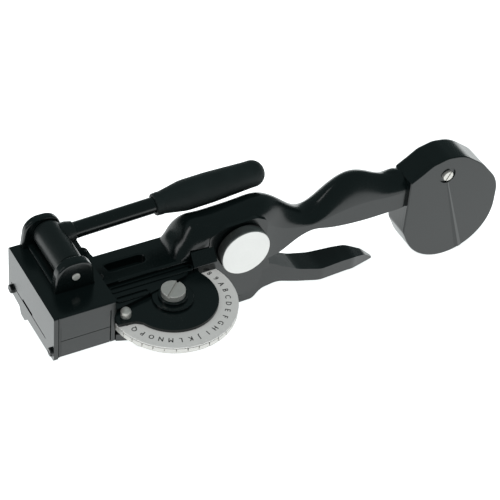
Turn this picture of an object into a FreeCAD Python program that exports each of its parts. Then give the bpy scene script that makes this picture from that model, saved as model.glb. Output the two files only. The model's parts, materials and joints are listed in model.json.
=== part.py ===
"""Heavy-duty embossing label maker for metal tape: a hand-held, die-cast tool.

Working axes: +X runs from the tape exit to the magazine, +Y away from the feed knob,
+Z along the letter wheel's axis. Heights below are measured from the tape's plane;
at the end the whole tool is lifted so that its magazine touches Z = 0, and it is
centred over the origin.
"""
import FreeCAD, Part
import math
import os

App = FreeCAD
V = App.Vector

# ---- driving dimensions (mm) ----
tapeWidth, tapeThick = 12.0, 0.25
tapeZ = 0.1                                   # underside of the tape

headLength, headNearY, headFarY = 36.0, -35.6, 26.4
headBottomZ, headTopZ = -7.4, 22.2
wallThick = 2.6

neckHalf, deckZ, neckBottomZ = 12.0, 12.2, -7.4
bodyEndX = 262.0

wheelX, wheelY, wheelR = 71.5, -31.2, 36.0
wheelTopZ, ringThick, rimGap = 5.2, 0.9, 0.35
wheelLowZ = 0.8
punchR, punchTopZ, punchLowZ = 33.0, -0.4, -2.2
letterCount, firstLetter = 36, 22.3           # the first visible letter stands at this angle
axleR = 4.0
coverR, coverLowZ, coverTopZ, padRise = 25.4, 5.7, 7.2, 2.6

knobX, knobZ, knobR = 122.0, 12.6, 15.1
knobBackY, knobFrontY = -13.5, -20.0
rollerR, pressR = 12.1, 4.6
shaftR = 2.5
knurlCount = 90

pivotX, pivotZ, barrelR = 20.0, 31.0, 8.2
barrelNearY, barrelFarY = -12.0, 20.8
leverY, rodR, rodEndX = 15.0, 4.7, 96.0
leverRise = math.radians(2.5)
gripStartX, gripEndX, gripR, gripNeckR = 81.0, 149.0, 8.5, 6.3

magX, magZ, magR = 265.4, -14.3, 31.1
magFrontX = 233.0
magNearY, magFarY = -12.0, 8.4
magWall = 1.2
coverPlate = 2.2
reelCoreR, coilR = 8.0, 24.5
magScrewX, magScrewZ = 258.0, 18.0

triggerHalf = 8.0
toeR, toeArm, toeAngle = 2.0, 26.0, math.radians(12)
hammerX, hammerR = wheelX, 2.5
rockerX, rockerZ = 98.0, -13.5

chamberHalf = 9.0                             # half width inside the roller chamber
runGap = 0.05                                 # radial clearance of a pin in its hole
gap = 0.3                                     # air between neighbouring moving bodies

nodes = {}


# ---- small shape helpers ----
def box(x0, y0, z0, x1, y1, z1):
    return Part.makeBox(x1 - x0, y1 - y0, z1 - z0, V(x0, y0, z0))


def cylZ(x, y, r, z0, z1):
    return Part.makeCylinder(r, z1 - z0, V(x, y, z0), V(0, 0, 1))


def cylY(x, z, r, y0, y1):
    return Part.makeCylinder(r, y1 - y0, V(x, y0, z), V(0, 1, 0))


def cylX(y, z, r, x0, x1):
    return Part.makeCylinder(r, x1 - x0, V(x0, y, z), V(1, 0, 0))


def place(plane, a, b, level):
    """A point (a, b) of a drawing on plane xy, xz or yz at the given level."""
    return {"xy": V(a, b, level), "xz": V(a, level, b), "yz": V(level, a, b)}[plane]


def outline(plane, level, corners):
    """Closed wire through corners (a, b) or (a, b, radius); a radius rounds its corner."""
    ends = []
    for i, corner in enumerate(corners):
        p = place(plane, corner[0], corner[1], level)
        radius = corner[2] if len(corner) > 2 else 0
        before, after = corners[i - 1], corners[(i + 1) % len(corners)]
        toBefore = (place(plane, before[0], before[1], level) - p).normalize()
        toAfter = (place(plane, after[0], after[1], level) - p).normalize()
        if radius == 0:
            ends.append((p, None, p))
            continue
        half = toBefore.getAngle(toAfter) / 2
        reach = radius / math.tan(half)
        middle = (toBefore + toAfter).normalize() * (radius / math.sin(half) - radius)
        ends.append((p + toBefore * reach, p + middle, p + toAfter * reach))
    edges = []
    for i, (start, mid, stop) in enumerate(ends):
        if mid is not None:
            edges.append(Part.Arc(start, mid, stop).toShape())
        following = ends[(i + 1) % len(ends)][0]
        if stop.distanceToPoint(following) > 1e-6:
            edges.append(Part.LineSegment(stop, following).toShape())
    return Part.Wire(edges)


def prism(plane, level, depth, corners):
    """The outline pushed along the plane's normal, from level to level + depth."""
    normal = {"xy": V(0, 0, 1), "xz": V(0, 1, 0), "yz": V(1, 0, 0)}[plane]
    return Part.Face(outline(plane, level, corners)).extrude(normal * depth)


def slotZ(x0, x1, y, r, z0, z1):
    """Obround column along X between two centres."""
    corners = [(x0 - r, y - r, r * 0.999), (x1 + r, y - r, r * 0.999),
               (x1 + r, y + r, r * 0.999), (x0 - r, y + r, r * 0.999)]
    return prism("xy", z0, z1 - z0, corners)


def soften(shape, radius, keep):
    """Fillet every edge that the test accepts."""
    return shape.makeFillet(radius, [e for e in shape.Edges if keep(e)])


def along(edge, axis):
    """True for a straight edge that runs along the given axis."""
    if not isinstance(edge.Curve, Part.Line):
        return False
    d = edge.Curve.Direction
    return abs(abs(getattr(d, axis)) - 1) < 1e-6


def discSpring(x, y, z0, z1, inner, outer, thick, discs):
    """Stack of cone washers, every second one upside down, joined where their rims meet."""
    rise = (z1 - z0 - thick) / discs
    stack = []
    for i in range(discs):
        foot, head = (inner, outer) if i % 2 == 0 else (outer, inner)
        low = z0 + i * rise
        section = Part.makePolygon([V(foot, 0, low), V(head, 0, low + rise), V(head, 0, low + rise + thick),
                                    V(foot, 0, low + thick), V(foot, 0, low)])
        stack.append(Part.Face(section).revolve(V(0, 0, 0), V(0, 0, 1), 360))
    spring = stack[0].fuse(stack[1:]).removeSplitter()
    spring.translate(V(x, y, 0))
    return spring


def slottedHeadZ(x, y, r, z0, z1, slotWide, slotDeep, angle):
    """Cheese head standing along +Z with a screwdriver slot turned to the angle."""
    head = cylZ(x, y, r, z0, z1)
    head = soften(head, 0.5, lambda e: e.Vertexes[0].Z > z1 - 0.01 and e.Length > r)
    cutter = box(-r - 1, -slotWide / 2, z1 - slotDeep, r + 1, slotWide / 2, z1 + 1)
    cutter.rotate(V(0, 0, 0), V(0, 0, 1), angle)
    cutter.translate(V(x, y, 0))
    return head.cut(cutter)


# ---- head: the cutter's housing ----
headCavity = box(wallThick, headNearY + 4, headBottomZ + 2, headLength - 3, headFarY - 3, headTopZ - 4)


def makeHead():
    shell = box(wallThick, headNearY, headBottomZ, headLength, headFarY, headTopZ)
    shell = soften(shell, 1.2, lambda e: along(e, "x") or along(e, "z"))
    shell = shell.cut(headCavity)
    # the framed opening that the side panel fills
    shell = shell.cut(prism("xz", headNearY - 1, 2.6, panelCorners(0)))
    # cutter slot up through the roof, and the tape's way out to the body
    shell = shell.cut(box(pivotX - 1.7, -7.7, 10, pivotX + 1.7, 7.7, headTopZ + 1))
    shell = shell.cut(box(20, -6.6, tapeZ - 0.3, headLength + 1, 6.6, tapeZ + 0.6))
    for y in endScrewY:
        shell = shell.cut(cylX(y, endScrewZ(y), 1.3, wallThick - 1, 12))
    return shell.cut(cylZ(wheelX, wheelY, wheelR + 0.5, punchLowZ - 0.5, coverLowZ - 0.1))


def panelCorners(inset):
    return [(4 + inset, headBottomZ + inset), (33 - inset, headBottomZ + inset),
            (33 - inset, 16.7 - inset), (4 + inset, 16.7 - inset, 3.0)]


endScrewY = (21.5, -33.0)


def endScrewZ(y):
    return -4.6 if y > 0 else -3.3


def makeSidePanel():
    panel = prism("xz", headNearY + 0.5, 1.1, panelCorners(0.35))
    seam = box(0, headNearY, 4.0, 40, headNearY + 0.8, 4.4)
    return panel.cut(seam)


def makeEndPlate():
    corners = [(headNearY, headBottomZ - 1.2, 1.5), (headNearY, headTopZ, 1.2), (headFarY, headTopZ, 1.2),
               (headFarY, headBottomZ - 0.4, 1.5), (11.5, headBottomZ - 1.6, 2), (9.5, headBottomZ - 6.2, 2.5),
               (4.0, headBottomZ - 6.2, 2.5), (0.5, headBottomZ - 2.0, 2)]
    plate = prism("yz", 0, wallThick - 0.02, corners)
    slit = box(-1, -24.5, tapeZ - 1.6, wallThick + 1, 23.0, tapeZ - 0.8)
    way = box(-1, -6.6, tapeZ - 1.6, wallThick + 1, 6.6, tapeZ + 0.6)
    plate = plate.cut(slit).cut(way)
    for y in endScrewY:
        plate = plate.cut(cylX(y, endScrewZ(y), 1.3, -1, 4))
    return plate


def makeEndScrews():
    screws = []
    for y in endScrewY:
        z = endScrewZ(y)
        head = Part.makeCylinder(2.6, 1.7, V(-1.75, y, z), V(1, 0, 0))
        head = soften(head, 0.7, lambda e: e.Length > 10 and e.BoundBox.XMax < -1.7)
        head = head.cut(box(-2, y - 3, z - 0.35, -1.1, y + 3, z + 0.35))
        screws.append(head.fuse(cylX(y, z, 1.25, -0.2, 3.9)).removeSplitter())
    return Part.makeCompound(screws)


earNearOut, earNearIn, earFarIn, earFarOut = -18.4, -12.3, 21.1, 25.6


def makeEars():
    base = box(9, earNearOut + 0.4, headTopZ + 0.02, 31, earFarOut, headTopZ + 2.2)
    base = soften(base, 1.0, lambda e: e.BoundBox.ZMin > headTopZ + 1)
    block = base
    for y0, y1, top, x in ((earNearOut, earNearIn, 9.6, pivotX), (earFarIn, earFarOut, 9.8, pivotX - 1.8)):
        ear = prism("xz", y0, y1 - y0, [(x - top - 2.5, headTopZ + 0.02), (x + top + 1.5, headTopZ + 0.02),
                                        (x + top, pivotZ + top, top * 0.95), (x - top, pivotZ + top, top * 0.95)])
        ear = soften(ear, 1.4, lambda e: e.BoundBox.ZMax > pivotZ + 2 and e.BoundBox.YMax - e.BoundBox.YMin < 0.01)
        block = block.fuse(ear)
    block = block.removeSplitter()
    block = block.cut(cylY(pivotX, pivotZ, 2.25 + 0.01, earNearOut - 1, earFarOut + 1))
    block = block.cut(cylY(pivotX, pivotZ, barrelR + gap, earNearIn, earFarIn))
    return block.cut(box(pivotX - 1.7, -7.7, headTopZ - 1, pivotX + 1.7, 7.7, headTopZ + 3))


def makePivotPin():
    pin = cylY(pivotX, pivotZ, 2.25, earNearOut - 0.7, earFarOut + 0.7)
    return soften(pin, 0.4, lambda e: e.Length > 5 and not along(e, "y"))


def makeHeadInsides():
    seat = box(pivotX + 1.9, -9.6, headBottomZ + 2.02, pivotX + 6, 9.6, tapeZ - 0.35)
    nodes["shear_anvil"] = seat
    guide = box(pivotX - 4.2, -9.6, tapeZ + 0.9, pivotX + 4.2, 9.6, headTopZ - 4.02)
    nodes["blade_guide"] = guide.cut(box(pivotX - 1.6, -7.6, 0, pivotX + 1.6, 7.6, headTopZ))


# ---- lever and cutter ----
def tiltLever(shape):
    shape.rotate(V(pivotX, leverY, pivotZ), V(0, -1, 0), math.degrees(leverRise))
    return shape


def makeBarrel():
    hub = cylY(pivotX, pivotZ, barrelR, barrelNearY, barrelFarY)
    hub = soften(hub, 0.6, lambda e: e.Length > 20 and not along(e, "y"))
    boss = Part.makeCone(6.4, rodR + 0.6, 7.0, V(pivotX + 6.0, leverY, pivotZ), V(1, 0, 0))
    boss = boss.common(box(pivotX, leverY - 4.95, pivotZ - 9, pivotX + 20, leverY + 4.95, pivotZ + 9))
    hub = hub.fuse(tiltLever(boss)).removeSplitter()
    hub = hub.cut(cylY(pivotX, pivotZ, 2.25 + runGap, barrelNearY - 1, barrelFarY + 1))
    return hub.cut(tiltLever(cylX(leverY, pivotZ, rodR, pivotX + 3.5, pivotX + 20)))


def makeRod():
    return tiltLever(cylX(leverY, pivotZ, rodR, pivotX + 3.52, rodEndX))


def makeGrip():
    """Moulded sleeve: a short collar, a swelling barrel and a domed end, turned about the rod."""
    length = gripEndX - gripStartX
    profile = [V(gripStartX, 0, 0), V(gripStartX, 0, gripNeckR - 0.8), V(gripStartX + 0.8, 0, gripNeckR),
               V(gripStartX + 5, 0, gripNeckR + 0.5)]
    swell = Part.BSplineCurve()
    swell.interpolate([V(gripStartX + 5, 0, gripNeckR + 0.5), V(gripStartX + 11, 0, gripR - 0.5),
                       V(gripStartX + length * 0.35, 0, gripR), V(gripEndX - 22, 0, gripR - 0.45),
                       V(gripEndX - gripR + 0.7, 0, gripR - 0.7)])
    tip = Part.Arc(V(gripEndX - gripR + 0.7, 0, gripR - 0.7),
                   V(gripEndX - (gripR - 0.7) * (1 - math.sqrt(0.5)), 0, (gripR - 0.7) * math.sqrt(0.5)),
                   V(gripEndX, 0, 0))
    edges = [Part.LineSegment(profile[i], profile[i + 1]).toShape() for i in range(3)]
    edges += [swell.toShape(), tip.toShape(), Part.LineSegment(V(gripEndX, 0, 0), profile[0]).toShape()]
    grip = Part.Face(Part.Wire(edges)).revolve(V(0, 0, 0), V(1, 0, 0), 360)
    grip.translate(V(0, leverY, pivotZ))
    grip = tiltLever(grip)
    return grip.cut(makeRod())


def makeBlade():
    lowEdge = tapeZ + tapeThick + 0.6
    blade = box(pivotX - 1.5, -7.4, lowEdge, pivotX + 1.5, 7.4, pivotZ - barrelR - gap)
    return blade.cut(prism("xz", -8, 16, [(pivotX - 1.6, lowEdge - 0.1), (pivotX + 1.4, lowEdge - 0.1),
                                          (pivotX - 1.6, lowEdge + 2.4)]))


# ---- body casting ----
# station x, underside, crown, then half width and shoulder height on the near and far sides
bodyStations = (
    (82.0, -7.4, 12.0, 11.6, 8.0, 11.8, 8.6), (88.0, -7.4, 20.4, 11.8, 10.8, 12.0, 15.4),
    (91.2, -7.4, 25.0, 11.9, 12.0, 11.9, 19.6), (95.0, -7.4, 28.8, 12.0, 14.4, 11.7, 21.6),
    (104.0, -7.4, 30.2, 12.2, 22.0, 11.5, 20.4), (116.0, -7.4, 31.0, 12.2, 25.0, 11.1, 20.6),
    (128.0, -7.4, 32.2, 12.1, 25.4, 10.9, 21.0), (139.0, -7.2, 32.6, 10.4, 20.0, 10.8, 21.0),
    (150.0, -5.8, 27.3, 9.3, 12.6, 9.7, 15.0), (161.0, 0.4, 18.0, 9.0, 9.0, 9.2, 8.8),
    (171.0, 3.6, 13.9, 9.0, 7.6, 9.0, 7.4), (181.0, 1.8, 20.0, 9.0, 9.4, 9.3, 10.2),
    (190.0, 0.3, 26.8, 9.0, 11.4, 9.7, 14.2), (199.0, -0.5, 29.4, 9.0, 12.6, 9.9, 17.0),
    (211.0, -0.8, 26.0, 9.0, 12.4, 9.8, 14.2), (222.0, -0.5, 21.3, 9.0, 11.4, 9.0, 10.8),
    (232.98, 0.8, 20.4, 9.2, 11.4, 8.3, 10.8),
)
slopeFrom, fullRound, leanRound = 140.0, 1.0, 1.36   # beyond this station the near roof leans in


def bodySection(x, low, crown, nearHalf, nearShoulder, farHalf, farShoulder):
    """Flat base and sides under a roof of two curved quarters that meet at the crown."""
    points = []
    for i in range(13):
        t = math.pi * i / 12
        near = i < 6
        half, shoulder = (nearHalf, nearShoulder) if near else (farHalf, farShoulder)
        power = leanRound if near and x > slopeFrom else fullRound
        across = -half * math.copysign(abs(math.cos(t)) ** power, math.cos(t))
        points.append(V(x, across, shoulder + (crown - shoulder) * math.sin(t) ** power))
    roof = Part.BSplineCurve()
    roof.interpolate(points)
    return Part.Wire([Part.LineSegment(V(x, farHalf, low), V(x, -nearHalf, low)).toShape(),
                      Part.LineSegment(V(x, -nearHalf, low), points[0]).toShape(), roof.toShape(),
                      Part.LineSegment(points[-1], V(x, farHalf, low)).toShape()])


# centre line of the tape from the head to the reel, in the plane Y = 0
tapePath = ((106.0, 0.225), (124.0, 0.225), (150.0, 3.4), (166.0, 7.2), (178.0, 7.6), (196.0, 10.5), (214.0, 10.0),
            (236.5, 9.6))


def pathBand(points, below, above, half):
    """A band of constant depth that follows the points, with the bends rounded."""
    low = [(x, z - below) for x, z in points]
    high = [(x, z + above) for x, z in reversed(points)]
    bends = [(x, z, 12.0) for x, z in low[1:-1]]
    topBends = [(x, z, 12.0) for x, z in high[1:-1]]
    return prism("xz", -half, 2 * half, [low[0]] + bends + [low[-1], high[0]] + topBends + [high[-1]])


def makeBody():
    hump = Part.makeLoft([bodySection(*s) for s in bodyStations], True, False)
    neck = box(headLength + 0.02, -neckHalf, neckBottomZ, 112, neckHalf, deckZ)
    neck = soften(neck, 1.5, lambda e: along(e, "x") and e.BoundBox.ZMin > deckZ - 0.1)
    # window over the tape, its rim rounded
    neck = neck.cut(slotZ(48.4, 65.8, -0.2, 3.4, 6.4, deckZ + 1))
    neck = soften(neck, 0.9, lambda e: e.BoundBox.ZMin > deckZ - 0.1 and abs(e.BoundBox.Center.y) < 5
                  and e.BoundBox.XMax < 72)
    flange = prism("xy", neckBottomZ, deckZ - neckBottomZ,
                   [(headLength + 0.02, -neckHalf), (48, -neckHalf), (42.8, 13.5, 1), (42.8, 20.5, 3),
                    (headLength + 0.02, 20.5)])
    belly = prism("xz", -neckHalf, 2 * neckHalf, [(105, -27.5, 6), (138.2, -27.5, 13), (138.2, 8, 3), (105, 8)])
    shoulderPad = prism("xz", -12.6, 4, [(95.8, -2), (138.6, -2, 1), (138.6, 25.0, 4), (131, 29.2, 8),
                                          (112, 28.4, 6), (102.5, 24.0, 3), (102.5, 16.6, 3), (92.4, 13.0, 3)])
    farBoss = cylY(knobX, knobZ, 9.0, chamberHalf, neckHalf)
    farBoss = soften(farBoss, 0.8, lambda e: e.BoundBox.YMin > neckHalf - 0.1)
    body = hump.fuse([neck, flange, belly, shoulderPad, farBoss])
    # slot for the letter wheel, clear of its rim
    body = body.cut(cylZ(wheelX, wheelY, wheelR + 0.5, punchLowZ - 0.5, coverLowZ - 0.1))
    # tape channel, roller chamber and the trigger's opening below the handle
    body = body.cut(box(30, -6.6, tapeZ - 0.3, 112, 6.6, tapeZ + 0.6))
    body = body.cut(pathBand(tapePath, 1.6, 1.6, 6.9))
    chamber = prism("xz", -chamberHalf, 2 * chamberHalf, [(107.5, -25.0, 4), (136, -25.0, 9), (136, -13.5), (142.0, -13.5),
                                       (141.5, -3.0, 2), (137.6, 27.0, 8), (107.5, 27.0, 8)])
    body = body.cut(chamber)
    body = body.cut(prism("xz", -7.2, 14.4, [(135, -13.5), (155, -13.5), (155, -2.0, 2), (145, 4, 2), (135, 5.5)]))
    body = body.cut(cylY(knobX, knobZ, shaftR + 1.5 + 0.01, -14, 14))
    # pocket for the rocker and the hammer's bore
    body = body.cut(box(66, -4.2, neckBottomZ - 1, 109, 4.2, neckBottomZ + 1.5))
    body = body.cut(box(104, -4.2, -19.8, 109, 4.2, neckBottomZ + 1))
    body = body.cut(cylZ(hammerX, 0, hammerR + runGap, neckBottomZ - 1, punchLowZ))
    body = body.cut(cylY(knobX, pressZ, 1.5 + 0.01, -12.5, 12.5))
    body = body.cut(cylY(pawlPinX, pawlPinZ, pawlPinR + 0.01, chamberHalf - 0.5, chamberHalf + 0.62))
    for x, y in deckScrewAt[:2]:
        body = body.cut(cylZ(x, y, 1.0, deckZ - 5, deckZ + 1))
    return body


deckScrewAt = ((39.6, 16.4), (39.6, -6.4), (38.9, -21.4))
pressZ = tapeZ - 0.05 - pressR


padBeads = ((43, 89, -15.6), (43, 59, -23.4))   # raised beads on the cover's pad: x from, x to, y


def makeWheelCover():
    """Plate over the letter wheel: a disc that sweeps back to the head's corner."""
    disc = cylZ(wheelX, wheelY + 0.7, coverR, coverLowZ, coverTopZ)
    sweep = prism("xy", coverLowZ, coverTopZ - coverLowZ,
                  [(headLength + 0.05, -neckHalf - 0.02), (92, -neckHalf - 0.02), (95.4, -14.4, 1), (93, -21, 3), (60, -40.5),
                   (51.5, -44, 6), (45.6, -39.4, 6), (headLength + 0.05, -38.4)])
    plate = disc.fuse(sweep).removeSplitter()
    plate = plate.cut(box(headLength, -neckHalf, 0, 110, 20, 20))
    pad = prism("xy", coverTopZ - 0.1, padRise, [(headLength + 0.05, -neckHalf - 0.02), (91, -neckHalf - 0.02, 3),
                                             (86, -20, 6), (60, -25.5, 4), (40, -29.5, 3), (headLength + 0.05, -29.5)])
    plate = plate.fuse(pad)
    for x0, x1, y in padBeads:
        bead = slotZ(x0, x1, y, 2.4, coverTopZ, coverTopZ + padRise + 0.7)
        bead = soften(bead, 0.6, lambda e: e.BoundBox.ZMin > coverTopZ + padRise)
        plate = plate.fuse(bead.cut(slotZ(x0, x1, y, 1.3, coverTopZ + 1, 20)))
    for r, top in ((11.5, 1.6), (8.2, 3.2)):
        step = cylZ(wheelX, wheelY, r, coverTopZ - 0.2, coverTopZ + top)
        plate = plate.fuse(soften(step, 0.5, lambda e, z=coverTopZ + top: e.BoundBox.ZMin > z - 0.01))
    plate = plate.removeSplitter()
    return plate.cut(cylZ(wheelX, wheelY, axleR + 0.01, 0, 20))


def makeLowerFrame():
    """Plate under the wheel with the axle's lobe and the detent's boss."""
    z0, z1 = neckBottomZ - 0.02, punchLowZ - 0.55
    web = prism("xy", z0, z1 - z0, [(headLength + 0.05, -neckHalf - 0.02), (100, -neckHalf - 0.02, 3),
                                          (84, -34, 6), (60, -44, 6), (headLength + 0.05, -35.6)])
    lobe = cylZ(wheelX, wheelY, 14, z0, z1)
    boss = cylZ(54.4, -35.0, 9.6, -13.0, z1)
    boss = soften(boss, 3.5, lambda e: e.BoundBox.ZMax < -12.9)
    plate = web.fuse([lobe, boss]).removeSplitter()
    return plate.cut(cylZ(wheelX, wheelY, axleR + 0.01, -20, 0))


def makeWheelFixings():
    post = cylZ(wheelX, wheelY, axleR, neckBottomZ + 0.6, coverTopZ + 3.2)
    nodes["wheel_axle"] = post
    nodes["wheel_screw"] = slottedHeadZ(wheelX, wheelY, 6.75, coverTopZ + 3.25, coverTopZ + 7.0, 1.5, 1.4, 42)
    screws = []
    for i, (x, y) in enumerate(deckScrewAt):
        base = deckZ if i < 2 else coverTopZ + padRise - 0.1
        head = slottedHeadZ(x, y, 2.1, base + 0.02, base + 1.6, 0.6, 0.7, 30 + 40 * i)
        if i < 2:
            head = head.fuse(cylZ(x, y, 0.95, base - 4, base + 0.5)).removeSplitter()
        screws.append(head)
    nodes["deck_screws"] = Part.makeCompound(screws)
    pillar = cylZ(42.4, -33.6, 3.0, coverTopZ + 0.02, coverTopZ + 2.6)
    dome = Part.makeSphere(3.0, V(42.4, -33.6, coverTopZ + 2.6), V(0, 0, 1), 0, 90, 360)
    nodes["index_cap"] = pillar.fuse(dome).removeSplitter()


# ---- letter wheel ----
def wheelBore(shape):
    return shape.cut(cylZ(wheelX, wheelY, hubR, -20, 20))


hubR = 9.0


def makeWheels():
    nodes["letter_ring"] = wheelBore(cylZ(wheelX, wheelY, wheelR, wheelTopZ - ringThick, wheelTopZ))
    die = cylZ(wheelX, wheelY, wheelR - 1.0, wheelLowZ, wheelTopZ - ringThick - 0.02)
    facets = cylZ(wheelX, wheelY, wheelR - 0.15, wheelLowZ, wheelTopZ - ringThick - rimGap)
    die = die.fuse(facets).removeSplitter()
    saw = box(wheelR - 2.4, -0.3, wheelLowZ - 1, wheelR + 1, 0.3, wheelTopZ - ringThick - rimGap)
    cuts = []
    for i in range(letterCount):
        blade = saw.copy()
        blade.rotate(V(0, 0, 0), V(0, 0, 1), firstLetter + (i + 0.5) * 360 / letterCount)
        blade.translate(V(wheelX, wheelY, 0))
        cuts.append(blade)
    nodes["die_wheel"] = wheelBore(die.cut(cuts))
    nodes["punch_wheel"] = wheelBore(cylZ(wheelX, wheelY, punchR, punchLowZ, punchTopZ))
    hub = cylZ(wheelX, wheelY, hubR - 0.02, punchLowZ, wheelTopZ)
    nodes["wheel_hub"] = hub.cut(cylZ(wheelX, wheelY, axleR + runGap, -20, 20))


# ---- feed knob and rollers ----
def makeKnob():
    rim = cylY(knobX, knobZ, knobR, knobFrontY + 0.7, knobBackY)
    rim = soften(rim, 0.7, lambda e: e.Length > 60 and e.BoundBox.YMax > knobBackY - 0.1)
    groove = cylY(knobX + knobR + 0.15, knobZ, 0.42, knobFrontY - 1, knobBackY + 1)
    cuts = []
    for i in range(knurlCount):
        one = groove.copy()
        one.rotate(V(knobX, 0, knobZ), V(0, 1, 0), i * 360 / knurlCount)
        cuts.append(one)
    rim = rim.cut(cuts)
    rim = rim.cut(cylY(knobX, knobZ, knobR - 1.6, knobFrontY, knobFrontY + 1.6))
    nodes["feed_knob"] = rim.cut(cylY(knobX, knobZ, shaftR + 0.01, -30, 0))
    cap = cylY(knobX, knobZ, knobR - 1.62, knobFrontY + 0.7, knobFrontY + 1.58)
    face = cylY(knobX, knobZ, knobR - 0.3, knobFrontY, knobFrontY + 0.68)
    face = soften(face, 0.45, lambda e: e.Length > 60 and e.BoundBox.YMax < knobFrontY + 0.1)
    nodes["knob_face"] = cap.fuse([face, cylY(knobX, knobZ, knobR - 2.4, knobFrontY + 0.5, knobFrontY + 1)]).removeSplitter()
    nodes["feed_shaft"] = cylY(knobX, knobZ, shaftR, knobFrontY + 1.6, 13.5)
    roller = cylY(knobX, knobZ, rollerR, -6.2, 6.2)
    roller = soften(roller, 0.5, lambda e: e.Length > 40 and not along(e, "y"))
    nodes["feed_roller"] = roller.cut(cylY(knobX, knobZ, shaftR + 0.01, -30, 30))
    nodes["feed_ratchet"] = makeRatchet()
    for name, y0, y1 in (("near_bearing", -neckHalf, -chamberHalf - 0.02), ("far_bearing", chamberHalf + 0.02, neckHalf)):
        bush = cylY(knobX, knobZ, shaftR + 1.5, y0, y1)
        nodes[name] = bush.cut(cylY(knobX, knobZ, shaftR + runGap, -30, 30))
    press = cylY(knobX, pressZ, pressR, -6.2, 6.2)
    nodes["pressure_roller"] = press.cut(cylY(knobX, pressZ, 1.5 + runGap, -30, 30))
    nodes["pressure_axle"] = cylY(knobX, pressZ, 1.5, -11.9, 11.9)


ratchetTeeth, ratchetTip, ratchetRoot = 24, 11.0, 9.5
pawlPinX, pawlPinZ, pawlPinR = 131.5, 21.5, 1.3


def makeRatchet():
    """Saw-toothed wheel on the feed shaft."""
    corners = []
    for i in range(ratchetTeeth):
        valley = math.radians(90 + i * 360 / ratchetTeeth)
        peak = valley + math.radians(0.8)
        corners.append((knobX + ratchetRoot * math.cos(valley), knobZ + ratchetRoot * math.sin(valley)))
        corners.append((knobX + ratchetTip * math.cos(peak), knobZ + ratchetTip * math.sin(peak)))
    wheel = prism("xz", 6.3, 1.1, corners)
    return wheel.cut(cylY(knobX, knobZ, shaftR + 0.01, 0, 10))


def makePawl():
    """Catch over the ratchet's teeth, its tip just clear of them."""
    tipX, tipZ = knobX + 0.7, knobZ + ratchetTip + 0.12
    finger = prism("xz", 6.35, 1.0, [(tipX, tipZ), (tipX + 1.6, tipZ + 0.75), (pawlPinX + 0.5, pawlPinZ - 2.2, 1),
                                     (pawlPinX + 2.4, pawlPinZ + 1.5, 1), (pawlPinX - 2, pawlPinZ + 2.6, 1),
                                     (tipX, tipZ + 2.4)])
    nodes["ratchet_pawl"] = finger.cut(cylY(pawlPinX, pawlPinZ, pawlPinR + runGap, 0, 10))
    nodes["pawl_pin"] = cylY(pawlPinX, pawlPinZ, pawlPinR, 6.3, chamberHalf + 0.6)


def makeTriggerSpring():
    """Torsion spring: one open turn of flat wire round the feed shaft's near end."""
    turn = cylY(knobX, knobZ, 5.95, -8.0, -6.2).cut(cylY(knobX, knobZ, 5.25, -9.0, -5.0))
    return turn.cut(box(knobX + 3.0, -9.0, knobZ - 0.8, knobX + 8.0, -5.0, knobZ + 0.8))


# ---- trigger, rocker and hammer ----
def makeTrigger():
    """Finger lever: side outline cut from the solid, narrowed in plan to a pointed tip."""
    side = [(128.5, -40.6, 3), (137.0, -40.2, 4), (142.5, -34.0, 8), (152.5, -31.4, 12), (166.0, -35.8, 20),
            (180.0, -39.6, 20), (200.0, -40.2, 20), (213.0, -41.8, 10), (220.6, -42.6), (220.6, -41.4),
            (214.5, -36.0, 8), (205.0, -32.2, 15), (196.0, -31.4, 25), (181.0, -31.2, 20),
            (166.0, -26.4, 25), (151.0, -18.3, 12), (144.2, -14.6, 4), (140.4, -17.5, 2), (140.2, -26.0, 6),
            (134.0, -34.0, 6), (122.0, -36.4, 2), (122.0, -40.4, 2)]
    outer = prism("xz", -triggerHalf, 2 * triggerHalf, side)
    plan = prism("xy", -60, 60, [(118, -5.2, 3), (140, -5.6, 20), (160, -7.0, 30), (182, -triggerHalf, 25),
                                 (204, -6.2, 15), (221.5, -0.6, 0.5), (221.5, 0.6, 0.5), (204, 6.2, 15),
                                 (182, triggerHalf, 25), (160, 7.0, 30), (140, 5.6, 20), (118, 5.2, 3)])
    blade = outer.common(plan)
    arm = prism("xz", -6.6, 13.2, [(140.6, -19.0), (146.8, -18.6, 2), (144.6, -9.0, 3), (139.0, -5.5, 2),
                                   (133.5, -5.5, 1), (133.5, -10.0, 1), (139.4, -12.4, 1)])
    cheeks = []
    for y0, y1 in ((-8.8, -8.1), (7.6, 8.7)):
        cheek = prism("xz", y0, y1 - y0, [(117.0, 16.0, 4), (124.0, 20.0, 5), (130.0, 14.0, 5), (135.4, 2.0, 3),
                                          (137.2, -6.0, 2), (135.4, -10.4, 2), (120.0, -14.6, 2),
                                          (113.5, -14.0, 2), (112.8, -8.0, 2)])
        cheeks.append(cheek)
    toeX, toeZ = knobX - toeArm * math.sin(toeAngle), knobZ - toeArm * math.cos(toeAngle)
    toe = cylY(toeX, toeZ, toeR, -8.3, 8.0)
    tie = box(133.6, -8.3, -9.9, 137.0, 8.0, -5.7)
    trigger = blade.fuse([arm, toe, tie] + cheeks).removeSplitter()
    trigger = trigger.cut(cylY(knobX, knobZ, shaftR + 0.4, -12, 12))
    # curved slot that lets the cheeks swing past the pressure roller's axle
    reach = knobZ - pressZ
    sector = cylY(knobX, knobZ, reach + 2.1, -12, 12).cut(cylY(knobX, knobZ, reach - 2.1, -13, 13))
    wedge = prism("xz", -12, 24, [(knobX, knobZ), (knobX - 9.6, knobZ - 25), (knobX + 3.6, knobZ - 25)])
    return trigger.cut(sector.common(wedge))


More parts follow.
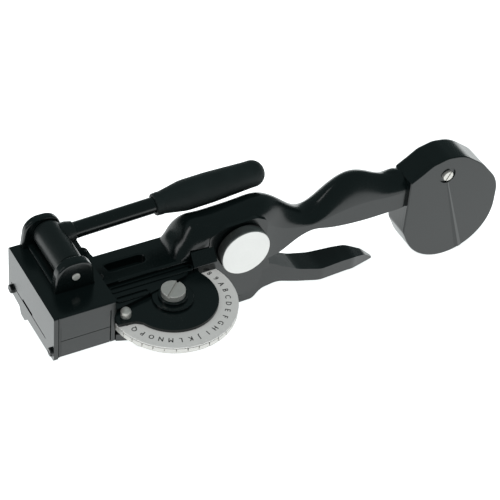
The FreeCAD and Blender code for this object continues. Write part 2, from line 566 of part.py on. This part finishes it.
def makeRocker():
    padZ = knobZ - toeArm * math.cos(toeAngle) - toeR - 0.25
    bar = prism("xz", -3.6, 7.2, [(68.5, -15.0, 1), (92, -16.6, 4), (106, -18.4, 4), (120.5, -18.6, 1), (120.5, padZ, 1),
                                  (109, padZ, 4), (99, -10.4, 3), (68.5, -10.9, 1)])
    nodes["rocker_arm"] = bar.cut(cylY(rockerX, rockerZ, 1.5 + runGap, -10, 10))
    nodes["rocker_pin"] = cylY(rockerX, rockerZ, 1.5, -5.9, 5.9)
    hammer = cylZ(hammerX, 0, hammerR, -10.6, punchLowZ - 0.9)
    collar = cylZ(hammerX, 0, 3.6, -10.6, -9.8)
    nodes["emboss_hammer"] = hammer.fuse(collar).removeSplitter()
    nodes["hammer_spring"] = discSpring(hammerX, 0, -9.75, neckBottomZ + 1.45, 2.6, 3.4, 0.5, 4)
    housing = box(64, -6, -21.5, 104.98, 6, neckBottomZ - 0.02)
    housing = soften(housing, 2, lambda e: along(e, "x") and e.BoundBox.ZMax < -20)
    housing = housing.cut(box(66, -4.2, -19.8, 110, 4.2, neckBottomZ))
    nodes["rocker_housing"] = housing.cut(cylY(rockerX, rockerZ, 1.5 + 0.01, -7, 7))


# ---- magazine ----
def magazineOutline(inset=0.0):
    """Round reel housing whose roof rises to the handle, with a flat front edge.

    The round part is drawn by corners of the tangents at the foot, the bottom and the
    back of the reel's circle, each rounded with the circle's own radius.
    """
    d = inset
    r = magR - d
    foot, bottom = math.radians(205), math.radians(270)
    mid, opening = (foot + bottom) / 2, math.cos((bottom - foot) / 2)
    frontX = magFrontX + d
    frontZ = magZ + (r - math.cos(foot) * (frontX - magX)) / math.sin(foot)
    return [(frontX, frontZ, 6), (magX + r / opening * math.cos(mid), magZ - r, r), (magX + r, magZ - r, r),
            (magX + r, 2.0, 24 - d), (283.5 - d * 0.84, 18.0 - d * 0.54, 24 - d), (268.5 - d * 0.4, 29.5 - d * 0.92, 22 - d),
            (257.0, 31.0 - d, 12 - d), (247.0 + d * 0.3, 28.6 - d, 10), (240.0 + d * 0.4, 23.8 - d, 10),
            (frontX, 19.4 - d, 1)]


def makeMagazine():
    shell = prism("xz", magNearY + coverPlate + 0.05, magFarY - magNearY - coverPlate - 0.05, magazineOutline())
    shell = soften(shell, 4.0, lambda e: e.BoundBox.YMin > magFarY - 0.01)
    cavity = prism("xz", magNearY - 1, magFarY - magWall - magNearY + 1, magazineOutline(2.4))
    shell = shell.cut(cavity)
    postR = 4.2
    shell = shell.fuse(cylY(magScrewX, magScrewZ, postR, magNearY + coverPlate + 0.05, magFarY - magWall + 0.1)).removeSplitter()
    shell = shell.cut(cylY(magScrewX, magScrewZ, 1.6, -20, 4))
    shell = shell.fuse(cylY(magX, magZ, 4.0, magNearY + coverPlate + 2.0, magFarY - magWall + 0.1)).removeSplitter()
    # tape's way in from the handle
    return shell.cut(box(231, -6.9, 8.0, 238, 6.9, 11.2))


def makeMagazineCover():
    plate = prism("xz", magNearY, coverPlate, magazineOutline())
    plate = soften(plate, 0.8, lambda e: e.BoundBox.YMax < magNearY + 0.01)
    # ridge that widens from the screw through the reel's centre to the rim
    ends = []
    for x, z, half, rise in ((258.6, 13.0, 0.8, 0.3), (275.0, -42.6, 2.6, 0.8)):
        ends.append(Part.makePolygon([V(x - half, magNearY + 0.05, z), V(x, magNearY - rise, z),
                                      V(x + half, magNearY + 0.05, z), V(x - half, magNearY + 0.05, z)]))
    plate = plate.fuse(Part.makeLoft(ends, True, True)).removeSplitter()
    recess = cylY(magScrewX, magScrewZ, 5.4, magNearY - 1, magNearY + 0.9)
    plate = plate.cut(recess)
    return plate.cut(cylY(magScrewX, magScrewZ, 1.6 + 0.05, -20, 0))


def makeMagazineScrew():
    head = cylY(magScrewX, magScrewZ, 3.25, magNearY - 1.1, magNearY + 0.88)
    head = soften(head, 0.4, lambda e: e.Length > 15 and e.BoundBox.YMax < magNearY - 1)
    slot = box(-4, -2, -0.45, 4, 0.9, 0.45)
    slot.rotate(V(0, 0, 0), V(0, 1, 0), -62)
    slot.translate(V(magScrewX, magNearY - 1.1, magScrewZ))
    head = head.cut(slot)
    return head.fuse(cylY(magScrewX, magScrewZ, 1.6, magNearY + 0.5, 3.9)).removeSplitter()


def makeReel():
    core = cylY(magX, magZ, reelCoreR, -7.0, 6.3)
    flange = cylY(magX, magZ, 13.0, 6.2, 6.8)
    core = core.fuse(flange).removeSplitter()
    nodes["reel_core"] = core.cut(cylY(magX, magZ, 4.0 + runGap, -20, 20))
    coil = cylY(magX, magZ, coilR, -tapeWidth / 2, tapeWidth / 2)
    nodes["tape_coil"] = coil.cut(cylY(magX, magZ, reelCoreR + 0.02, -20, 20))


def makeTape():
    """Metal tape lying in its channel from the cutter to the magazine's mouth."""
    half = tapeWidth / 2
    flat = box(22.2, -half, tapeZ, tapePath[0][0] + 0.5, half, tapeZ + tapeThick)
    return flat.fuse(pathBand(tapePath, tapeThick / 2, tapeThick / 2, half)).removeSplitter()


# ---- the assembly ----
def build():
    nodes["body_casting"] = makeBody()
    nodes["head_housing"] = makeHead()
    nodes["end_plate"] = makeEndPlate()
    nodes["end_plate_screws"] = makeEndScrews()
    nodes["side_panel"] = makeSidePanel()
    nodes["pivot_bracket"] = makeEars()
    nodes["pivot_pin"] = makePivotPin()
    makeHeadInsides()
    nodes["cutter_cam"] = makeBarrel()
    nodes["lever_rod"] = makeRod()
    nodes["lever_grip"] = makeGrip()
    nodes["cutter_blade"] = makeBlade()
    nodes["wheel_cover"] = makeWheelCover()
    nodes["lower_frame"] = makeLowerFrame()
    makeWheelFixings()
    makeWheels()
    makeKnob()
    makePawl()
    nodes["trigger_spring"] = makeTriggerSpring()
    nodes["trigger"] = makeTrigger()
    makeRocker()
    nodes["magazine_shell"] = makeMagazine()
    nodes["magazine_cover"] = makeMagazineCover()
    nodes["magazine_screw"] = makeMagazineScrew()
    makeReel()
    nodes["tape_strip"] = makeTape()


def main():
    build()
    whole = Part.makeCompound(list(nodes.values())).optimalBoundingBox(False, False)
    lift = V(-(whole.XMin + whole.XMax) / 2, -(whole.YMin + whole.YMax) / 2, -whole.ZMin)
    os.makedirs("parts", exist_ok=True)
    for name, shape in nodes.items():
        shape.translate(lift)
        shape.exportStep("parts/" + name + ".step")
        print(name, len(shape.Solids), round(shape.Volume, 1), shape.isValid())
    print("moved by", [round(c, 5) for c in lift])
    print("overall size", [round(d, 2) for d in (whole.XLength, whole.YLength, whole.ZLength)])


if __name__ == "__main__":
    main()
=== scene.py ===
import json
import math

import bpy
import numpy as np
from mathutils import Matrix, Vector


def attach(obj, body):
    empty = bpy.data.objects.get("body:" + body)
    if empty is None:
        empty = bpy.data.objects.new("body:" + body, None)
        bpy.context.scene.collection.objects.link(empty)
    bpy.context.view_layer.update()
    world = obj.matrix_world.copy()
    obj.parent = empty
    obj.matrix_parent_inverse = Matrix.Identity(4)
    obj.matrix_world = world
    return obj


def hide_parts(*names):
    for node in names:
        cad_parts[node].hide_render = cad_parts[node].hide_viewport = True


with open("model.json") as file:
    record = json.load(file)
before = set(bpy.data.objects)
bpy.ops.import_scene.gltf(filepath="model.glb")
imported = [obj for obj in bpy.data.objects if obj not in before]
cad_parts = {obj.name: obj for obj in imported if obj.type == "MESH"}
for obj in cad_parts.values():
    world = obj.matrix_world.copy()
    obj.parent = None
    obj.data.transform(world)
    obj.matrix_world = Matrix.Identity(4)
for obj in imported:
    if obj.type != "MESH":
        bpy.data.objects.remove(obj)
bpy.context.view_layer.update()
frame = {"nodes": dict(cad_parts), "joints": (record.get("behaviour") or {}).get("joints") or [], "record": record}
nodes = frame["nodes"]
print("frame loaded:", len(nodes), "nodes")

mm = 0.001
# the tool's working origin: its drawing puts the feed knob's axis at (122, 0, 12.6)
knobAt = np.array([122.0, 0.0, 12.6])
knobJoint = next(j for j in frame["joints"] if j["name"] == "knob_turn")
origin = np.array(knobJoint["pos_m"]) - knobAt * mm


class Wire:
    # a socket that Python's operators work on; each operator adds one Math node
    def __init__(self, finish, socket):
        self.finish, self.socket = finish, socket

    def math(self, operation, *terms):
        return self.finish.node("Math", {"operation": operation}, *terms)

    def __add__(self, other): return self.math("ADD", self, other)
    def __radd__(self, other): return self.math("ADD", other, self)
    def __sub__(self, other): return self.math("SUBTRACT", self, other)
    def __rsub__(self, other): return self.math("SUBTRACT", other, self)
    def __mul__(self, other): return self.math("MULTIPLY", self, other)
    def __rmul__(self, other): return self.math("MULTIPLY", other, self)


class Finish:
    # one material: node() adds any node, the rest are short names for common ones
    def __init__(self, name, **uniform):
        self.material = bpy.data.materials.new(name)
        self.material.use_nodes = True
        self.tree = self.material.node_tree
        self.shader = self.tree.nodes["Principled BSDF"]
        for socket, value in uniform.items():
            self.shader.inputs[socket.replace("_", " ")].default_value = value

    def put(self, socket, value):
        if isinstance(value, Wire):
            self.tree.links.new(value.socket, socket)
        elif socket.type == "RGBA" and len(value) == 3:
            socket.default_value = (*value, 1.0)
        else:
            socket.default_value = value

    def node(self, kind, settings, *values, output=0, **named):
        made = self.tree.nodes.new("ShaderNode" + kind)
        for key, value in settings.items():
            setattr(made, key, value)
        for i, value in enumerate(values):
            self.put(made.inputs[i], value)
        for key, value in named.items():
            self.put(made.inputs[key.replace("_", " ")], value)
        return Wire(self, made.outputs[output])

    def place(self, centre=(0, 0, 0), scale=(1, 1, 1)):
        where = self.node("TexCoord", {}, output=3)
        shift = [-c * s for c, s in zip(centre, scale)]
        return self.node("Mapping", {}, where, tuple(shift), (0.0, 0.0, 0.0), tuple(scale))

    def noise(self, where, scale, detail=3.0, roughness=0.55):
        return self.node("TexNoise", {}, Vector=where, Scale=scale, Detail=detail, Roughness=roughness)

    def blend(self, share, low, high):
        made = self.tree.nodes.new("ShaderNodeMix")
        made.data_type = "RGBA"
        for index, value in ((0, share), (6, low), (7, high)):
            self.put(made.inputs[index], value)
        return Wire(self, made.outputs[2])

    def bump(self, height, strength, depth):
        return self.node("Bump", {}, Strength=strength, Distance=depth, Height=height)

    def feed(self, **links):
        for socket, value in links.items():
            self.put(self.shader.inputs[socket.replace("_", " ")], value)
        return self.material


enamelLook = {"dark": (0.002, 0.004, 0.004), "worn": (0.004, 0.007, 0.007), "gloss": 0.14, "spread": 0.10,
              "peelScale": 520.0, "peelDepth": 0.00006}


def enamel(name, look):
    # brushed-on stove enamel: an even dark tone with cloudy patches, fine orange-peel bump,
    # roughness = gloss + spread x cloud
    f = Finish(name)
    where = f.place()
    cloud = f.noise(where, 45.0)
    specks = f.noise(where, 900.0, 2.0)
    peel = f.noise(where, look["peelScale"], 1.0)
    colour = f.blend(cloud, look["dark"], look["worn"])
    rough = look["gloss"] + look["spread"] * cloud + 0.04 * specks
    return f.feed(Base_Color=colour, Roughness=rough, Normal=f.bump(peel, 0.25, look["peelDepth"]))


satinLook = {"dark": (0.003, 0.005, 0.005), "worn": (0.007, 0.010, 0.010), "gloss": 0.30, "spread": 0.12,
             "peelScale": 1400.0, "peelDepth": 0.00005}
rubberLook = {"dark": (0.006, 0.009, 0.009), "light": (0.014, 0.020, 0.020), "grain": 1500.0,
              "depth": 0.00012}


def rubber(name, look):
    # matt moulded rubber: a tight pebble grain in the bump, and dusty lighter crests
    f = Finish(name, Specular_IOR_Level=0.35)
    where = f.place()
    pebbles = f.node("TexVoronoi", {"feature": "SMOOTH_F1"}, Vector=where, Scale=look["grain"])
    dust = f.noise(where, 120.0, 4.0)
    colour = f.blend(dust, look["dark"], look["light"])
    return f.feed(Base_Color=colour, Roughness=0.55 + 0.2 * dust,
                  Normal=f.bump(1.0 - pebbles, 0.35, look["depth"]))


def turnedMetal(name, centre, axis, light, dark, rough, grooves=3200.0, metallic=0.9, depth=0.00002):
    # lathe-brushed metal: noise in polar coordinates about the axis, far finer along the
    # radius than round the turn, tints the colour and the roughness and lifts the bump
    f = Finish(name)
    flat = [0.0 if i == axis else 1.0 for i in range(3)]
    where = f.place(tuple(origin + np.array(centre) * mm), tuple(flat))
    radius = f.node("VectorMath", {"operation": "LENGTH"}, where, output=1)
    around = f.node("VectorMath", {"operation": "NORMALIZE"}, where)
    lines = f.node("VectorMath", {"operation": "SCALE"}, around, Scale=1.6)
    deep = f.node("CombineXYZ", {}, radius * grooves, 0.0, 0.0)
    lines = f.node("VectorMath", {"operation": "ADD"}, lines, deep)
    streak = f.noise(lines, 1.0, 3.0, 0.6)
    cloud = f.noise(f.place(), 60.0)
    colour = f.blend(0.65 * streak + 0.35 * cloud, dark, light)
    return f.feed(Base_Color=colour, Metallic=metallic, Roughness=rough - 0.08 + 0.16 * streak,
                  Normal=f.bump(streak, 0.3, depth))


def plainMetal(name, light, dark, rough, metallic=0.95, scratch=(40.0, 900.0, 900.0), depth=0.00002):
    # drawn metal: noise stretched along X for scratches, with cloudy tarnish
    f = Finish(name)
    scratches = f.noise(f.place((0, 0, 0), scratch), 1.0, 4.0)
    cloud = f.noise(f.place(), 140.0)
    colour = f.blend(0.5 * scratches + 0.5 * cloud, dark, light)
    return f.feed(Base_Color=colour, Metallic=metallic, Roughness=rough - 0.06 + 0.12 * cloud,
                  Normal=f.bump(scratches, 0.2, depth))


def plastic(name, dark, light, rough):
    # moulded plastic: soft mottling and a faint texture
    f = Finish(name)
    where = f.place()
    cloud = f.noise(where, 90.0)
    grain = f.noise(where, 1800.0, 2.0)
    return f.feed(Base_Color=f.blend(cloud, dark, light), Roughness=rough + 0.1 * cloud,
                  Normal=f.bump(grain, 0.15, 0.00004))


wheelAt = (71.5, -31.2, 0.0)
finishes = {
    "black_enamel": enamel("blackEnamel", enamelLook),
    "satin_enamel": enamel("satinEnamel", satinLook),
    "grip_rubber": rubber("gripRubber", rubberLook),
    "dial_metal": turnedMetal("dialMetal", wheelAt, 2, (0.84, 0.82, 0.80), (0.64, 0.62, 0.60), 0.45,
                              metallic=0.12),
    "wheel_steel": plainMetal("wheelSteel", (0.74, 0.72, 0.69), (0.46, 0.45, 0.43), 0.45, 0.5),
    "screw_steel": plainMetal("screwSteel", (0.76, 0.74, 0.70), (0.48, 0.46, 0.43), 0.38, 0.6),
    "dark_screw": plainMetal("darkScrew", (0.10, 0.10, 0.10), (0.035, 0.035, 0.037), 0.34),
    "knob_face": turnedMetal("knobFace", tuple(knobAt), 1, (0.66, 0.655, 0.64), (0.50, 0.495, 0.485), 0.36),
    "knob_rim": plainMetal("knobRim", (0.34, 0.335, 0.33), (0.12, 0.12, 0.12), 0.36),
    "inner_steel": plainMetal("innerSteel", (0.55, 0.54, 0.53), (0.30, 0.30, 0.30), 0.40),
    "spring_steel": plainMetal("springSteel", (0.60, 0.60, 0.60), (0.32, 0.32, 0.33), 0.28),
    "bronze": plainMetal("bronze", (0.60, 0.42, 0.20), (0.36, 0.23, 0.10), 0.38),
    "roller_rubber": rubber("rollerRubber", rubberLook),
    "tape_metal": plainMetal("tapeMetal", (0.80, 0.80, 0.79), (0.58, 0.58, 0.58), 0.30),
    "reel_plastic": plastic("reelPlastic", (0.05, 0.05, 0.052), (0.09, 0.09, 0.092), 0.42),
}
ink = plastic("letterInk", (0.006, 0.006, 0.007), (0.014, 0.014, 0.015), 0.5)

slotOf = {part["node"]: part["material_slot"] for part in frame["record"]["subparts"]}
for name, piece in nodes.items():
    piece.data.materials.clear()
    piece.data.materials.append(finishes[slotOf[name]])
print("finishes ready:", len(finishes) + 1)


def rounded(corners, steps=6, closed=False):
    # a line through corners (a, b, radius); each corner gives way to an arc that touches
    # both of its sides, its points pushed from the chord out to the radius
    points, last = [], len(corners) - 1
    for i, (a, b, radius) in enumerate(corners):
        here = np.array((a, b), float)
        if radius == 0 or (not closed and i in (0, last)):
            points.append(here[None])
            continue
        back = np.array(corners[i - 1][:2], float) - here
        ahead = np.array(corners[(i + 1) % len(corners)][:2], float) - here
        back, ahead = back / np.linalg.norm(back), ahead / np.linalg.norm(ahead)
        half = math.acos(float(np.clip(back @ ahead, -1, 1))) / 2
        middle = (back + ahead) / np.linalg.norm(back + ahead)
        share = np.linspace(0, 1, steps + 1)[:, None]
        centre = middle * radius / math.sin(half)
        arc = (back * (1 - share) + ahead * share) * radius / math.tan(half) - centre
        arc *= radius / np.linalg.norm(arc, axis=1, keepdims=True)
        points.append(here + centre + arc)
    return np.concatenate(points)


def gridFaces(rows, columns, ring=False):
    # quads between neighbouring rows of a grid whose last column meets its first; in a
    # ring the last row meets the first as well
    r = np.arange(rows if ring else rows - 1)[:, None]
    r, ahead = r * columns, (r + 1) % rows * columns
    c = np.arange(columns)[None]
    n = (c + 1) % columns
    return np.stack((r + c, r + n, ahead + n, ahead + c), -1).reshape(-1, 4)


def makePiece(name, vertices, faces, body, slot, stands=(), sharp=32.0):
    # carries millimetres about the tool's origin into the frame; the signed volume of the
    # faces says which way they point, and turns them all outwards
    vertices = np.asarray(vertices) * mm + origin
    inner = vertices.mean(0)
    volume = 0.0
    for group in faces:
        a, b, c = (vertices[group[:, k]] - inner for k in (0, 1, 2))
        volume += np.einsum("ij,ij->", a, np.cross(b, c))
        if group.shape[1] == 4:
            volume += np.einsum("ij,ij->", a, np.cross(c, vertices[group[:, 3]] - inner))
    faces = [group[:, ::-1] if volume < 0 else group for group in faces]
    mesh = bpy.data.meshes.new(name)
    mesh.from_pydata(vertices.tolist(), [], [f for group in faces for f in group.tolist()])
    mesh.shade_smooth()
    mesh.set_sharp_from_angle(angle=math.radians(sharp))
    mesh.materials.append(finishes[slot])
    piece = bpy.data.objects.new(name, mesh)
    bpy.context.scene.collection.objects.link(piece)
    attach(piece, body)
    if stands:
        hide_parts(*stands)
    return piece


def closeEnds(rings):
    # rows x columns grid closed by a fan at each end, round the middle of its last ring
    rows, columns = rings.shape[:2]
    vertices = np.concatenate((rings.reshape(-1, 3), rings[0].mean(0)[None], rings[-1].mean(0)[None]))
    c = np.arange(columns)
    n = (c + 1) % columns
    first, last = rows * columns, (rows - 1) * columns
    fans = np.concatenate((np.stack((n, c, np.full(columns, first)), -1),
                           np.stack((last + c, last + n, np.full(columns, first + 1)), -1)))
    return vertices, [gridFaces(rows, columns), fans]


def turn(profile, centre, axis, segments=96, wave=None):
    # each profile point (height, radius) swept round the axis through the centre;
    # wave, if given, multiplies the radius by a function of the turn and the point
    axis = np.array(axis, float) / np.linalg.norm(axis)
    side = np.cross(axis, (0.0, 0.0, 1.0) if abs(axis[2]) < 0.9 else (1.0, 0.0, 0.0))
    side /= np.linalg.norm(side)
    other = np.cross(axis, side)
    angle = np.arange(segments) * 2 * math.pi / segments
    spoke = side * np.cos(angle)[:, None] + other * np.sin(angle)[:, None]
    radius = profile[:, 1][:, None] * (1 if wave is None else wave(angle, profile))
    return np.array(centre) + axis * profile[:, 0][:, None, None] + spoke * radius[..., None]


def dense(profile, spacing):
    # points put between far neighbours so that long runs shade evenly
    steps = np.maximum(1, np.ceil(np.linalg.norm(np.diff(profile, axis=0), axis=1) / spacing)).astype(int)
    parts = [np.linspace(profile[i], profile[i + 1], n, endpoint=False) for i, n in enumerate(steps)]
    return np.concatenate(parts + [profile[-1:]])


lever = {"pivot": (20.0, 15.0, 31.0), "rise": 2.5, "rodRadius": 4.7, "rodFrom": 3.6, "rodTo": 72.0,
         "gripFrom": 61.0, "gripTo": 129.0, "gripRadius": 8.8, "gripTip": 7.7, "neck": 6.3,
         "barrelRadius": 8.2, "barrelNear": -12.0, "barrelFar": 20.8, "barrelBore": 2.32, "barrelBand": 1.4,
         "barrelStep": 0.5, "rodBevel": 0.4, "socket": 6.4, "socketPlaces": (5.5, 9.4, 13.2)}


def makeLever():
    # four turned solids; each profile point is a distance along the axis and a radius
    rise = math.radians(lever["rise"])
    along = (math.cos(rise), 0.0, math.sin(rise))
    start, end, neck = lever["gripFrom"], lever["gripTo"], lever["neck"]
    full, tip = lever["gripRadius"], lever["gripTip"]
    grip = rounded([(start, 4.9, 0), (start, neck, 0.7), (start + 3.6, neck + 0.25, 0.6),
                    (start + 4.6, neck + 0.1, 0.5), (start + 18, full, 26), (start + 34, full, 30),
                    (end - 10, tip, 20), (end, tip, 7.2), (end, 0.4, 0)], 12)
    vertices, faces = closeEnds(turn(dense(grip, 1.5), lever["pivot"], along, 96))
    makePiece("leverGrip", vertices, faces, "lever", "grip_rubber", ("lever_grip",))
    rod = lever["rodRadius"]
    first, last, bevel = lever["rodFrom"], lever["rodTo"], lever["rodBevel"]
    line = rounded([(first, rod - bevel, 0), (first + bevel, rod, 0.3), (last, rod, 0.3),
                    (last, 0.5, 0)], 4)
    vertices, faces = closeEnds(turn(dense(line, 3.0), lever["pivot"], along, 72))
    makePiece("leverRod", vertices, faces, "lever", "black_enamel", ("lever_rod",))
    near, far, big = lever["barrelNear"], lever["barrelFar"], lever["barrelRadius"]
    bore, band, step = lever["barrelBore"], lever["barrelBand"], lever["barrelStep"]
    hub = rounded([(near, bore, 0), (near, big - step, 0.4), (near + band, big - step, 0.2),
                   (near + band, big, 0.3), (far - band, big, 0.3), (far - band, big - step, 0.2),
                   (far, big - step, 0.4), (far, bore, 0)], 5)
    middle = (lever["pivot"][0], 0.0, lever["pivot"][2])
    vertices, faces = closeEnds(turn(dense(hub, 2.0), middle, (0, 1, 0), 120))
    makePiece("camBarrel", vertices, faces, "lever", "satin_enamel", ("cutter_cam",))
    inner, shelf, outer = lever["socketPlaces"]
    cup = rounded([(inner, lever["socket"], 0), (shelf, lever["socket"], 1.5), (outer, rod + 0.75, 0.6),
                   (outer, rod - 0.1, 0)], 6)
    vertices, faces = closeEnds(turn(dense(cup, 0.8), lever["pivot"], along, 72))
    makePiece("rodSocket", vertices, faces, "lever", "satin_enamel")


knob = {"radius": 15.1, "back": -13.5, "front": -19.25, "flutes": 90, "depth": 0.032, "faceRadius": 14.75,
        "faceFront": -20.0}


def makeKnob():
    # a fluted rim and a bright plate, both turned about the feed shaft
    back, front, big = knob["back"], knob["front"], knob["radius"]
    edge = rounded([(back, 2.6, 0), (back, big, 0.9), (front + 0.1, big, 0.35), (front, big - 1.7, 0)], 6)

    def flute(angle, profile):
        # a rounded saw wave cuts the radius, full between the two edges and gone at them
        wave = np.abs(np.sin(angle * knob["flutes"] / 2)) ** 0.7
        inset = np.clip((profile[:, 1] - (big - 0.8)) / 0.7, 0, 1)[:, None]
        return 1 - knob["depth"] * inset * (1 - wave)[None]

    rim = turn(dense(edge, 0.5), (knobAt[0], 0, knobAt[2]), (0, 1, 0), knob["flutes"] * 8, flute)
    vertices, faces = closeEnds(rim)
    makePiece("knobRim", vertices, faces, "knob", "knob_rim", ("feed_knob",), sharp=60.0)
    face, radius = knob["faceFront"], knob["faceRadius"]
    plate = rounded([(front + 0.6, radius - 1.4, 0), (front - 0.05, radius, 0.2),
                     (face + 0.12, radius, 0.3), (face + 0.04, radius - 1.2, 0.5), (face, 4.0, 0),
                     (face, 0.3, 0)], 6)
    vertices, faces = closeEnds(turn(dense(plate, 1.0), (knobAt[0], 0, knobAt[2]), (0, 1, 0), 160))
    makePiece("knobPlate", vertices, faces, "knob", "knob_face", ("knob_face",))


wheel = {"centre": (71.5, -31.2), "radius": 36.0, "top": 5.2, "thick": 0.9, "bore": 9.0,
         "letters": "89ABCDEFGHIJKLMNOPQRSTUVWXYZ&-234567", "firstAngle": 22.3, "letterRadius": 30.4,
         "size": 4.5, "bold": 0.08, "squeeze": 0.86, "proud": 0.05}


def makeLetters():
    # each glyph stands with its top outwards and is carried round the wheel by its angle;
    # two copies side by side thicken its strokes
    vertices, faces, base = [], [], 0
    for i, letter in enumerate(wheel["letters"]):
        text = bpy.data.curves.new("glyph", "FONT")
        text.body, text.size, text.extrude = letter, wheel["size"], wheel["proud"] / 2
        text.align_x, text.align_y, text.resolution_u = "CENTER", "CENTER", 2
        holder = bpy.data.objects.new("glyph", text)
        bpy.context.scene.collection.objects.link(holder)
        bpy.context.view_layer.update()
        shape = bpy.data.meshes.new_from_object(holder.evaluated_get(bpy.context.evaluated_depsgraph_get()))
        shape.calc_loop_triangles()
        points = np.zeros(len(shape.vertices) * 3)
        shape.vertices.foreach_get("co", points)
        corners = np.zeros(len(shape.loop_triangles) * 3, int)
        shape.loop_triangles.foreach_get("vertices", corners)
        points = points.reshape(-1, 3)
        local = points - (points.max(0) + points.min(0)) / 2
        angle = math.radians(wheel["firstAngle"] - i * 360 / len(wheel["letters"]))
        out = np.array((math.cos(angle), math.sin(angle), 0.0))
        right = np.array((math.sin(angle), -math.cos(angle), 0.0))
        placed = out * (wheel["letterRadius"] + local[:, 1:2]) + right * local[:, :1] * wheel["squeeze"]
        placed[:, 2] = wheel["top"] + wheel["proud"] / 2 + local[:, 2]
        for shift in (-wheel["bold"], wheel["bold"]):
            vertices.append(placed + right * shift + np.array((*wheel["centre"], 0.0)))
            faces.append(corners.reshape(-1, 3) + base)
            base += len(points)
        bpy.data.objects.remove(holder)
        bpy.data.meshes.remove(shape)
    mesh = bpy.data.meshes.new("dialLetters")
    mesh.from_pydata((np.concatenate(vertices) * mm + origin).tolist(), [], np.concatenate(faces).tolist())
    mesh.materials.append(ink)
    marks = bpy.data.objects.new("dialLetters", mesh)
    bpy.context.scene.collection.objects.link(marks)
    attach(marks, "wheel")


def makeDial():
    # a flat ring: a closed section of four corners turned about the wheel's axle
    low, top, big = wheel["top"] - wheel["thick"], wheel["top"], wheel["radius"]
    edge = rounded([(low, wheel["bore"], 0), (low, big - 0.15, 0.15), (top, big - 0.05, 0.3),
                    (top, wheel["bore"], 0)], 5)
    rings = turn(dense(edge, 1.5), (*wheel["centre"], 0.0), (0, 0, 1), 216)
    faces = [gridFaces(*rings.shape[:2], ring=True)]
    makePiece("dialPlate", rings.reshape(-1, 3), faces, "wheel", "dial_metal", ("letter_ring",))
    makeLetters()


shoulder = {"from": 91.0, "to": 105.2, "foot": 5.75, "wall": -17.9, "root": -12.5, "wallTop": 10.5,
            "rootTop": 17.5, "round": 2.0, "bevel": 0.6, "endScale": 0.95}


def makeShoulder():
    # sloping shoulder of the casting, where the dial passes under it: one outline across
    # the tool, carried along X and shrunk about its middle at the far end
    foot, wall, root = shoulder["foot"], shoulder["wall"], shoulder["root"]
    outline = rounded([(wall, foot, 0), (root, foot, 0), (root, shoulder["rootTop"], 0),
                       (wall, shoulder["wallTop"], shoulder["round"])], 8, closed=True)
    places = np.array([shoulder["from"], shoulder["to"] - shoulder["bevel"], shoulder["to"]])
    middle = outline.mean(0)
    scale = np.array([1.0, 1.0, shoulder["endScale"]])
    rings = np.stack([np.column_stack((np.full(len(outline), x), middle + (outline - middle) * k))
                      for x, k in zip(places, scale)])
    vertices, faces = closeEnds(rings)
    makePiece("dialShoulder", vertices, faces, "frame", "black_enamel", sharp=40.0)


makeLever()
makeKnob()
makeDial()
makeShoulder()
print("lever, knob, dial and shoulder made")


shot = {"azimuth": -31.39, "elevation": 41.90, "roll": 5.48, "distance": 1.00553,
        "aim": (107.105, -47.8, 43.29), "lens": 136.8}


def makeCamera():
    a, e, r = (math.radians(shot[k]) for k in ("azimuth", "elevation", "roll"))
    back = Vector((math.sin(a) * math.cos(e), -math.cos(a) * math.cos(e), math.sin(e)))
    right = Vector((math.cos(a), math.sin(a), 0.0))
    up = back.cross(right)
    turned = Matrix((right * math.cos(r) + up * math.sin(r), up * math.cos(r) - right * math.sin(r), back))
    lens = bpy.data.cameras.new("camera")
    lens.lens, lens.sensor_width = shot["lens"], 36.0
    lens.clip_start, lens.clip_end = 0.01, 20.0
    eye = bpy.data.objects.new("camera", lens)
    aim = Vector(origin + np.array(shot["aim"]) * mm)
    eye.matrix_world = Matrix.Translation(aim + back * shot["distance"]) @ turned.transposed().to_4x4()
    bpy.context.scene.collection.objects.link(eye)
    bpy.context.scene.camera = eye


floorLook = {"half": 6.0, "white": (0.93, 0.93, 0.93), "dim": (0.90, 0.90, 0.90), "glow": 0.98}


def makeFloor():
    h = floorLook["half"]
    mesh = bpy.data.meshes.new("floor")
    mesh.from_pydata([(-h, -h, 0), (h, -h, 0), (h, h, 0), (-h, h, 0)], [], [(0, 1, 2, 3)])
    f = Finish("floorPaper", Specular_IOR_Level=0.0, Emission_Color=(0.97, 1.0, 1.0, 1.0),
               Emission_Strength=floorLook["glow"])
    cloud = f.noise(f.place(), 6.0)
    f.feed(Base_Color=f.blend(cloud, floorLook["dim"], floorLook["white"]), Roughness=0.8 + 0.1 * cloud)
    mesh.materials.append(f.material)
    floor = bpy.data.objects.new("floor", mesh)
    bpy.context.scene.collection.objects.link(floor)


# name: place, what it points at, width, length, power
softboxes = {
    "topBox": ((-0.15, -0.25, 1.60), (0.0, 0.0, 0.0), 0.55, 0.55, 13.0),
    "leftBox": ((-1.30, 0.20, 0.90), (0.0, 0.0, 0.05), 0.3, 1.0, 2.2),
}
worldLight = (0.12, 0.16, 0.16)


def makeLights():
    for name, (at, towards, width, length, power) in softboxes.items():
        light = bpy.data.lights.new(name, "AREA")
        light.shape, light.size, light.size_y, light.energy = "RECTANGLE", width, length, power
        box = bpy.data.objects.new(name, light)
        aim = (Vector(towards) - Vector(at)).to_track_quat("-Z", "Y")
        box.matrix_world = Matrix.Translation(at) @ aim.to_matrix().to_4x4()
        box.visible_glossy = name != "topBox"  # the main light leaves no bright patches
        bpy.context.scene.collection.objects.link(box)
    world = bpy.data.worlds.new("studio")
    world.use_nodes = True
    world.node_tree.nodes["Background"].inputs[0].default_value = (*worldLight, 1.0)
    bpy.context.scene.world = world
    bpy.context.scene.view_settings.view_transform = "Standard"


makeCamera()
makeFloor()
makeLights()
print("camera, floor and lights placed")
